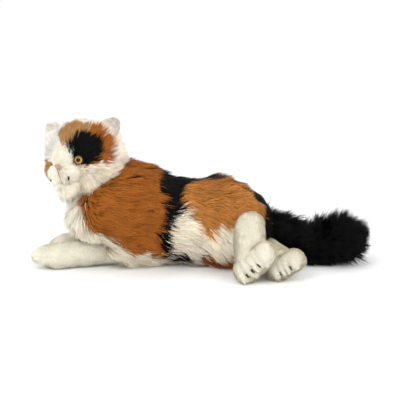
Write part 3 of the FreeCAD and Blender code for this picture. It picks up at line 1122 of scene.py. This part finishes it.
def foot_line(name):
    """A hind foot's line across its toes: its outer end, the line, the way the toes face, and its radii."""
    outer, outer_radius, inner, inner_radius = runs(name)[-1]
    line = unit(inner - outer)
    facing = unit(TOE_FACING - line * (line @ TOE_FACING))
    return outer, inner - outer, facing, outer_radius, inner_radius


def toe_forms(name):
    """Four toes across the front of a hind foot, the innermost the largest."""
    outer, across, facing, outer_radius, inner_radius = foot_line(name)
    line = unit(across)
    axes = np.stack((line, facing, np.cross(line, facing)), 1)
    forms = []
    for share, width, size in TOES:
        radius = outer_radius + (inner_radius - outer_radius) * np.clip(share, 0, 1)
        middle = outer + across * share + facing * (radius - size + 1.6)
        forms.append(ball_form(middle, (width, size, size * 1.15), axes))
    return forms


def grooved(points, name):
    """The points drawn in along the grooves between a hind foot's toes."""
    outer, across, facing, _, _ = foot_line(name)
    along = (points - outer) @ across / (across @ across)
    front = np.clip(((points - outer) @ facing - 3) / 8, 0, 1)
    reach = np.linalg.norm(across)
    depth = sum(np.exp(-(((along - groove) * reach / 1.7) ** 2)) for groove in TOE_GROOVES)
    return points - facing * (depth * front * 3.4)[:, None]


def paw_seam(points, name):
    """The points drawn in along the seam round the tip of a front paw."""
    _, _, tip, radius = runs(name)[-1]
    away = np.linalg.norm(points - tip, axis=1)
    depth = np.exp(-(((points[:, 2] - tip[2] + 1) / 1.5) ** 2)) * np.clip((radius + 12 - away) / 8, 0, 1)
    return points - unit(points - tip) * (depth * 1.2)[:, None]


def leg_skin(name):
    forms = [taper_form(*run) for run in runs(name)]
    hind = name.endswith("hind")
    if hind:
        forms += toe_forms(name)
    made = sculpted(f"{name}_leg_skin", forms, 1.3 if hind else 1.9, 4)
    shaped = grooved if hind else paw_seam
    return made_uneven(made, shaped(points_of(made), name), 30, 91, 0.5)


def leg_pile(name, skin, count, seed):
    rng = np.random.default_rng(seed)
    roots, normals = roots_on(skin, count, rng)
    keep = roots[:, 2] > LOWEST_LEG_ROOT
    if name.endswith("hind"):
        outer, across, facing, _, _ = foot_line(name)
        width = np.linalg.norm(across)
        along = (roots - outer) @ across / (across @ across) * width
        front = (roots - outer) @ facing > 7
        for groove in TOE_GROOVES:
            keep &= ~(front & (np.abs(along - groove * width) < 1.0))
    kept = kept_roots(roots, keep)
    roots, normals = roots[kept], normals[kept]
    start, _, end, _ = runs(name)[0]
    flow = unit(end - start) + np.stack([waves(roots, 20, seed + k) * 0.5 for k in range(3)], 1)
    colour = short_pile_colour(IVORY, roots, rng)
    stand = Stand(rise=46, lie=26, tuft=3, hold=0.1, lock=8, wild=5, rows=3)
    piece = hairs(f"{name}_leg_pile", roots, normals, flow, 4.0, 0.62, colour, rng, stand)
    kept_in(piece)
    return piece


# ---- tail
def tail_skin():
    return sculpted("tail_skin", [taper_form(*run) for run in runs("tail")], 3.0, 4)


def room_by_the_leg(roots):
    """How long a hair on the tail can be and stay out of the left hind leg, with the tail swung to it."""
    axis, least, _ = swing_of("tail")
    pivot = runs("tail")[0][0]
    swung = pivot + (roots - pivot) @ turned(axis, least).T
    return np.maximum(limb_distance(swung, "left_hind") + 1, 2.5)


def tail_pile(skin, count):
    rng = np.random.default_rng(101)
    roots, normals = roots_on(skin, count, rng)
    kept = kept_roots(roots, (roots[:, 0] > 76) & (roots[:, 2] > LOWEST_ROOT))
    roots, normals = roots[kept], normals[kept]
    flow = np.stack((np.ones(len(roots)), waves(roots, 24, 14) * 0.5, waves(roots, 24, 15) * 0.55), 1)
    colour = BLACK * coat_variety(roots, rng)
    length = np.interp(roots[:, 2], (1, 22), (7, 14)) * (1 + waves(roots, 22, 16) * 0.2)
    length *= 0.9 + 1.3 * rng.random(len(roots)) ** 3
    length = np.minimum(length, room_by_the_leg(roots))
    stand = Stand(rise=56, lie=42, hold=0.62, lock=9, wild=26)
    piece = hairs("tail_pile", roots, normals, flow, length, 0.6, colour, rng, stand)
    kept_in(piece)
    return piece


# ---- ears
EAR_ROOT, EAR_TIP = vec(-3.6, 37.6, 30.2), vec(-6.0, 53.0, 43.4)
EAR_WIDTH, EAR_HEIGHT, EAR_CLOTH = 25.0, 20.0, 1.5
EAR_HAIR = {"left": 4.5, "right": 6.5}  # the hairs' length on each


def ear_axes(side):
    """Across, forward and towards the tip of an ear, in the head's frame, and its root."""
    flip = vec(1, side, 1)
    root, tip = EAR_ROOT * flip, EAR_TIP * flip
    rise = unit(tip - root)
    forward = unit(vec(1, 0, 0) - rise * rise[0])
    return root, np.cross(forward, rise), forward, rise


def ear_half_width(height):
    """Half the ear's width at a height from 0 at the root to 1 at the tip."""
    return EAR_WIDTH / 2 * math.sqrt(max(0.0, 1 - height**2.6)) * (1 - 0.12 * height)


def ear_piece(name, side, front, shrink):
    """One cupped panel of an ear, closed all round, with its open side forward."""
    root, across, forward, rise = ear_axes(side)
    rows, columns = 12, 15
    size = rows * columns
    inner, outer = (0.1, 0.1 + EAR_CLOTH) if front else (-EAR_CLOTH - 0.2, -0.2)
    layers = []
    for offset in (inner, outer):
        for r in range(rows):
            height = r / (rows - 1) * 0.985
            half = ear_half_width(height) - shrink * (1 - 0.4 * height)
            for c in range(columns):
                s = 2 * c / (columns - 1) - 1
                cup = 2.6 * (s * s - 0.35) * (1 - height * 0.5) - 1.6 * height
                up = EAR_HEIGHT * height + 0.3
                layers.append(root + across * (half * s) + rise * up + forward * (cup + offset))
    faces = []
    for r in range(rows - 1):
        for c in range(columns - 1):
            a = r * columns + c
            faces.append((a, a + 1, a + columns + 1, a + columns))
            faces.append((a + size, a + columns + size, a + columns + 1 + size, a + 1 + size))
    rim = [*range(columns), *range(2 * columns - 1, size, columns)]
    rim += [*range(size - 2, size - columns - 1, -1), *range(size - 2 * columns, 0, -columns)]
    for a, b in zip(rim, rim[1:] + rim[:1]):
        faces.append((a, a + size, b + size, b))
    made = object_from(name, on_head(np.array(layers)), faces)
    smooth = made.modifiers.new("round", "SUBSURF")
    smooth.levels = 1
    return all_smooth(applied(made))


def ear_pile(name, skin, side, shade, length, count, seed):
    rng = np.random.default_rng(seed)
    roots, normals = roots_on(skin, count, rng)
    kept = kept_roots(roots, np.ones(count, bool))
    roots, normals = roots[kept], normals[kept]
    flow = np.repeat((ear_axes(side)[3] @ HEAD_AXES.T)[None], count, 0)
    colour = short_pile_colour(shade, roots, rng)
    stand = Stand(rise=50, lie=34, tuft=4, hold=0.4, lock=6, wild=12, rows=3)
    return hairs(name, roots, normals, flow, length, 0.4, colour, rng, stand)


# ---- stitches
def thread(name, lines, radius, look, body, nodes):
    """Bars of thread, each a smooth curve through its points with round ends."""
    curve = bpy.data.curves.new(name, "CURVE")
    curve.dimensions = "3D"
    curve.bevel_depth = radius / 1000
    curve.bevel_resolution = 3
    curve.use_fill_caps = True
    for line in lines:
        spline = curve.splines.new("BEZIER")
        spline.bezier_points.add(len(line) - 1)
        for point, place in zip(spline.bezier_points, metres(line)):
            point.co = place
            point.handle_left_type = point.handle_right_type = "AUTO"
    drawn = placed(name + "_curve", curve)
    mesh = evaluated_mesh(drawn)
    bpy.data.objects.remove(drawn)
    mesh.name = name
    mesh.materials.clear()
    mesh.materials.append(look)
    made = placed(name, mesh)
    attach(made, body)
    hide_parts(*nodes)
    return made


def toe_lines(name, standoff):
    """A short stitch in each groove between a hind foot's toes."""
    outer, across, facing, outer_radius, inner_radius = foot_line(name)
    upward = np.cross(facing, unit(across))
    lines = []
    for share in TOE_GROOVES:
        radius = outer_radius + (inner_radius - outer_radius) * share
        middle = outer + across * share + facing * (radius + standoff)
        lines.append([middle + upward * s - facing * (0.12 * s * s) for s in (-2.8, 0, 2.8)])
    return lines


# ---- assembly
HAIR_COUNTS = {"torso": 84000, "head": 36000, "muzzle": 15000, "leg": 15000, "tail": 30000, "ear": 4200}


def fitted(skin, pile, body, nodes, coat, seed, shade):
    """Puts a skin and its pile on a body, in place of its CAD cover, with the skin darkened by shade as
    painted shade under the pile.
    """
    paint(skin, coat, seed, shade)
    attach(skin, body)
    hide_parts(*nodes)
    for piece in pile:
        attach(piece, body)


def build_torso():
    skin = torso_skin()
    pile = torso_pile(skin, HAIR_COUNTS["torso"])
    fitted(skin, pile, "torso", ["torso_cover"], torso_coat, 5, 0.6)


def build_head():
    skin = head_skin()
    pile = head_pile(skin, HAIR_COUNTS["head"])
    fitted(skin, [pile], "head", ["head_cover"], head_coat, 6, 0.86)
    muzzle = muzzle_skin()
    nodes = ["left_muzzle_pad", "right_muzzle_pad", "chin_pad", "nose_bridge"]
    pile = muzzle_pile(muzzle, HAIR_COUNTS["muzzle"])
    fitted(muzzle, [pile], "head", nodes, plain_coat(IVORY), 7, 0.96)


def build_legs():
    for seed, name in enumerate(("left_front", "right_front", "left_hind", "right_hind")):
        skin = leg_skin(name)
        pile = leg_pile(name, skin, HAIR_COUNTS["leg"], 200 + seed * 10)
        nodes, coat = [f"{name}_leg_cover"], plain_coat(IVORY)
        fitted(skin, [pile], f"{name}_leg", nodes, coat, 8, 0.97)


def build_tail():
    skin = tail_skin()
    pile = tail_pile(skin, HAIR_COUNTS["tail"])
    fitted(skin, [pile], "tail", ["tail_cover"], plain_coat(BLACK), 9, 0.8)


def build_ears():
    for label, side in (("left", 1), ("right", -1)):
        length, count = EAR_HAIR[label], HAIR_COUNTS["ear"]
        back = ear_piece(f"{label}_ear_back_skin", side, False, 0)
        lining = ear_piece(f"{label}_ear_lining_skin", side, True, 2)
        for part, shade, slot, seed in (
            (back, WHITE, "ear_back", 301),
            (lining, (WHITE + BLUSH) / 2, "ear_lining", 302),
        ):
            pile = ear_pile(part.name.replace("skin", "pile"), part, side, shade, length, count, seed + side)
            paint(part, plain_coat(shade), 10)
            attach(part, f"{label}_ear")
            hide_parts(f"{label}_{slot}")
            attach(pile, f"{label}_ear")


def nose_lines():
    """Stitches side by side that fill a small rounded triangle on the end of the nose."""
    lines = []
    for s in np.linspace(-1, 1, 9):
        top, bottom = (58.6 - 0.5 * s * s, 4.4 * s, -0.2), (59.3, 0.5 * s, -5.0)
        lines.append([on_head(p) for p in (top, (59.6 - 1.2 * s * s, 2.6 * s, -2.6), bottom)])
    return lines


def whisker_lines():
    """A short stitch on the front of each pad, just out of its pile."""
    lines = []
    for sign in (1, -1):
        outward = unit(vec(0.735, sign * 0.618, -0.44))
        reach = 1 / np.linalg.norm(outward / PUFF_SIZE)
        centre = PUFF_CENTRE * vec(1, sign, 1) + outward * (reach + 2.2)
        lines.append([on_head(centre + vec(0.36, 0, -0.93) * s) for s in (-2.2, 0, 2.2)])
    return lines


def build_stitches():
    dark = thread_material("dark_thread", linear(26, 21, 19))
    rose = thread_material("nose_thread", linear(198, 162, 140))
    line = thread_material("mouth_thread_brown", linear(140, 104, 84))
    for side in ("left", "right"):
        name = f"{side}_hind"
        nodes = [f"{name}_toe_stitches"]
        thread(f"{name}_toe_threads", toe_lines(name, 0.4), 1.1, dark, f"{name}_leg", nodes)
    thread("whisker_threads", whisker_lines(), 1.15, dark, "head", ["whisker_stitches"])
    mouth = [on_head(p) for p in ((59.3, 0, -5.2), (58.4, 0, -9), (57.2, 0, -13.5), (54.2, 0, -19.5))]
    thread("mouth_thread", [mouth], 0.42, line, "head", ["mouth_stitch"])
    thread("nose_threads", nose_lines(), 0.55, rose, "head", ["nose"])


def dress_inner_parts():
    """Materials for the CAD nodes that stay: the eyes, and what is inside."""
    looks = {
        "eye_shank": plastic_material("eye_black", linear(12, 12, 13), 0.18),
        "eye_pupil": plastic_material("eye_pupil_black", linear(6, 6, 7), 0.1),
        "left_eye_iris": iris_material("left_eye_iris"),
        "right_eye_iris": iris_material("right_eye_iris"),
        "eye_dome": plastic_material("eye_clear", (0.02, 0.015, 0.01), 0.03, 0.02, 0.1),
        "eye_washer": plastic_material("washer_white", linear(225, 224, 220), 0.4),
        "stuffing": fibre_material("stuffing_fibre", linear(238, 236, 230)),
        "pellet_pouch": fibre_material("pouch_cloth", linear(228, 226, 220)),
        "neck_gusset": fibre_material("gusset_cloth", linear(216, 196, 166)),
    }
    for name, node in frame["nodes"].items():
        for ending, look in looks.items():
            if name.endswith(ending):
                node.data.materials.clear()
                node.data.materials.append(look)


def build_stage():
    reach = 30.0
    corners = [(-reach, -reach, 0), (reach, -reach, 0), (reach, reach, 0), (-reach, reach, 0)]
    mesh = bpy.data.meshes.new("floor")
    mesh.from_pydata(corners, [], [(0, 1, 2, 3)])
    floor = placed("floor", mesh)
    made, tree, shader = material("floor_white")
    tint(tree, shader, one_colour(tree, (0.96, 0.96, 0.96)), noise(tree, 4), 0.99, 1.01)
    surface(shader, 0.95, 0.0)
    floor.data.materials.append(made)


def area_light(name, place, size, power):
    """A round lamp that points at the middle of the toy."""
    data = bpy.data.lights.new(name, "AREA")
    data.shape = "DISK"
    data.size = size
    data.energy = power
    lamp = placed(name, data)
    lamp.location = place
    lamp.rotation_euler = (Vector((0, 0, 0.06)) - Vector(place)).to_track_quat("-Z", "Y").to_euler()


def build_lights():
    scene = bpy.context.scene
    world = bpy.data.worlds.new("studio")
    world.use_nodes = True
    background = world.node_tree.nodes["Background"]
    background.inputs["Color"].default_value = (1, 1, 1, 1)
    background.inputs["Strength"].default_value = 1.05
    scene.world = world
    area_light("key", (-0.7, -1.3, 1.5), 1.0, 11)
    area_light("fill", (1.2, -1.0, 0.9), 1.2, 5)
    scene.view_settings.view_transform = "Standard"


CAMERA_TARGET = vec(-3.25, 0, 81)
CAMERA_DISTANCE, CAMERA_RISE, LENS = 1444.0, 12.0, 100.0


def build_camera():
    rise = math.radians(CAMERA_RISE)
    back = vec(0, -math.cos(rise), math.sin(rise))
    data = bpy.data.cameras.new("camera")
    data.lens = LENS
    camera = placed("camera", data)
    camera.location = metres(CAMERA_TARGET + back * CAMERA_DISTANCE)
    camera.rotation_euler = Vector(-back).to_track_quat("-Z", "Y").to_euler()
    bpy.context.scene.camera = camera


build_camera()
build_stage()
build_lights()
build_torso()
build_head()
build_legs()
build_tail()
build_ears()
build_stitches()
dress_inner_parts()
